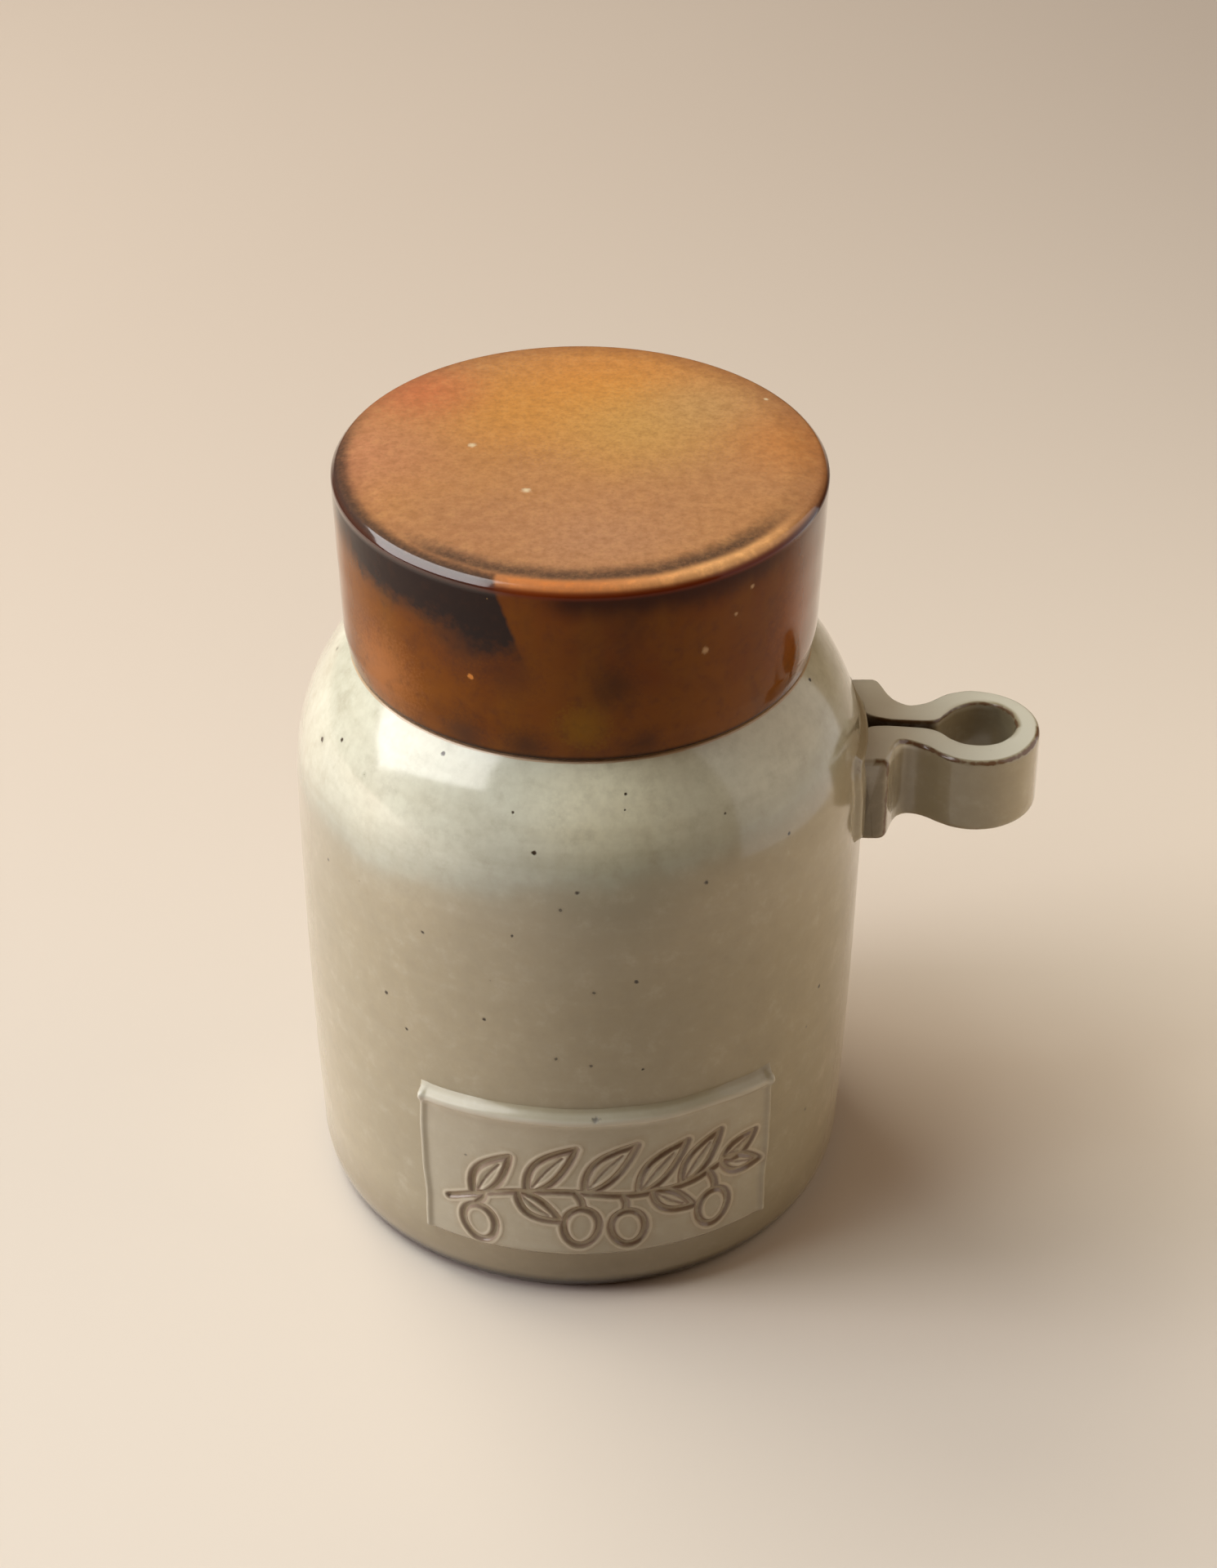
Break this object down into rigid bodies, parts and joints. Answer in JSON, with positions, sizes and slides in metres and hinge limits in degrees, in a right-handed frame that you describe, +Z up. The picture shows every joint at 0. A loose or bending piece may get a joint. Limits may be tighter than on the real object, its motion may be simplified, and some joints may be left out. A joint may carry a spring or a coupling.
{
  "type": "lidded stoneware jar",
  "caption": "Glazed stoneware storage jar with a deep cap lid, a folded strap loop handle on its shoulder and a raised tablet near its foot.",
  "frame": {"origin": "middle of the jar's flat base, on the pot's axis", "axes": "+Z up along the pot's axis, +X towards the folded handle, -Y towards the raised tablet"},
  "size_m": [0.1809, 0.1402, 0.2],
  "materials": {
    "pale_glaze": "satin grey-green celadon glaze over buff stoneware, iron specks",
    "rust_glaze": "glossy mottled iron-rust glaze over buff stoneware"
  },
  "bodies": {
    "jar": {"jar_body": "pale_glaze", "handle_pad": "pale_glaze", "handle_strap": "pale_glaze", "front_tablet": "pale_glaze"},
    "lid": {"lid": "rust_glaze"}
  },
  "joints": [
    {"name": "lid_lift", "type": "slide", "parent": "jar", "child": "lid", "axis": [0, 0, 1], "range_m": [0, 0.1]}
  ]
}
